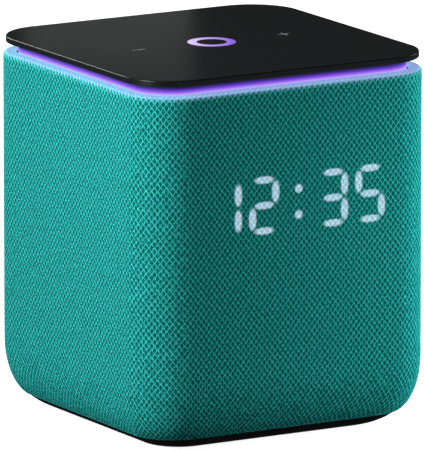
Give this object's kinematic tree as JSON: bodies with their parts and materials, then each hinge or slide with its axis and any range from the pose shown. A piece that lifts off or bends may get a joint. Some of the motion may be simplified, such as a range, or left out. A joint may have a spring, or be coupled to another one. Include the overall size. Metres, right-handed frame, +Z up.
{
  "type": "smart speaker",
  "caption": "Near-cubic fabric-wrapped smart speaker with a black touch panel, a light ring under it, a clock behind the fabric and a curved-in foot.",
  "frame": {"origin": "middle of the footprint, on the surface that the speaker stands on", "axes": "+Z up through the middle of the top panel; the clock faces -Y and the power socket +Y; +X is the listener's right"},
  "size_m": [0.1308, 0.1308, 0.15],
  "materials": {
    "foot_rubber": "matte",
    "base_plastic": "moulded, satin",
    "screw_steel": "zinc plated",
    "sleeve_fabric": "knitted mesh",
    "shell_plastic": "moulded",
    "panel_gloss": "satin gloss",
    "lens_plastic": "frosted",
    "black_foam": "open foam",
    "frame_plastic": "moulded",
    "diffuser_plastic": "milky",
    "circuit_board": "solder mask",
    "led_body": "clear resin",
    "chip_plastic": "moulded epoxy",
    "box_plastic": "moulded",
    "seal_rubber": "matte",
    "basket_metal": "black paint",
    "motor_steel": "zinc plated",
    "magnet_ferrite": "sintered",
    "cone_paper": "pressed pulp",
    "coil_copper": "enamelled wire",
    "spider_cloth": "resin-dipped cloth",
    "lightbox_plastic": "white moulded",
    "sink_aluminium": "anodised",
    "ribbon_film": "polyimide film",
    "wire_plastic": "PVC sleeve",
    "socket_plastic": "moulded",
    "button_plastic": "moulded, satin"
  },
  "bodies": {
    "speaker": {"antennas": "circuit_board", "base_cover": "base_plastic", "base_screws": "screw_steel", "board_chips": "chip_plastic", "box_gasket": "seal_rubber", "box_lid": "box_plastic", "box_lid_screws": "screw_steel", "chassis_screws": "screw_steel", "damping_foam": "black_foam", "display_board": "circuit_board", "display_film": "diffuser_plastic", "display_leds": "led_body", "display_lightbox": "lightbox_plastic", "driver_gaskets": "seal_rubber", "driver_screws": "screw_steel", "fabric_sleeve": "sleeve_fabric", "foot_pad": "foot_rubber", "front_bracket": "frame_plastic", "grille_shell": "shell_plastic", "heat_sink": "sink_aluminium", "led_ring_board": "circuit_board", "light_diffuser": "diffuser_plastic", "main_board": "circuit_board", "microphones": "chip_plastic", "mute_switch": "chip_plastic", "panel_tape": "black_foam", "power_socket": "socket_plastic", "power_wires": "wire_plastic", "radiator_frame_left": "frame_plastic", "radiator_frame_right": "frame_plastic", "radiator_surround_left": "seal_rubber", "radiator_surround_right": "seal_rubber", "rear_board": "circuit_board", "rear_panel": "base_plastic", "rear_screws": "screw_steel", "ribbon_cables": "ribbon_film", "ring_leds": "led_body", "ring_lens": "lens_plastic", "speaker_box": "box_plastic", "speaker_wires": "wire_plastic", "top_frame": "frame_plastic", "top_panel": "panel_gloss", "touch_board": "circuit_board", "tweeter_body_left": "chip_plastic", "tweeter_body_right": "chip_plastic", "woofer_basket": "basket_metal", "woofer_magnet": "magnet_ferrite", "woofer_spider": "spider_cloth", "woofer_surround": "seal_rubber", "woofer_top_plate": "motor_steel", "woofer_yoke": "motor_steel"},
    "woofer_moving": {"woofer_cone": "cone_paper", "woofer_coil": "coil_copper", "woofer_dust_cap": "cone_paper"},
    "radiator_left": {"radiator_plate_left": "basket_metal"},
    "radiator_right": {"radiator_plate_right": "basket_metal"},
    "tweeter_left": {"tweeter_dome_left": "spider_cloth"},
    "tweeter_right": {"tweeter_dome_right": "spider_cloth"},
    "mute_button": {"mute_button": "button_plastic"}
  },
  "joints": [
    {"name": "woofer_travel", "type": "slide", "parent": "speaker", "child": "woofer_moving", "axis": [0, -1, 0], "range_m": [-0.003, 0.003], "stiffness_N_per_m": 900, "deforming": ["woofer_surround", "woofer_spider"]},
    {"name": "radiator_left_travel", "type": "slide", "parent": "speaker", "child": "radiator_left", "axis": [-1, 0, 0], "range_m": [-0.003, 0.003], "stiffness_N_per_m": 700, "deforming": ["radiator_surround_left"]},
    {"name": "radiator_right_travel", "type": "slide", "parent": "speaker", "child": "radiator_right", "axis": [1, 0, 0], "range_m": [-0.003, 0.003], "stiffness_N_per_m": 700, "deforming": ["radiator_surround_right"]},
    {"name": "tweeter_left_travel", "type": "slide", "parent": "speaker", "child": "tweeter_left", "axis": [0, -1, 0], "range_m": [-0.0003, 0.0003], "stiffness_N_per_m": 3000},
    {"name": "tweeter_right_travel", "type": "slide", "parent": "speaker", "child": "tweeter_right", "axis": [0, -1, 0], "range_m": [-0.0003, 0.0003], "stiffness_N_per_m": 3000},
    {"name": "mute_button_press", "type": "slide", "parent": "speaker", "child": "mute_button", "axis": [0, -1, 0], "range_m": [0, 0.0008], "stiffness_N_per_m": 1200}
  ]
}
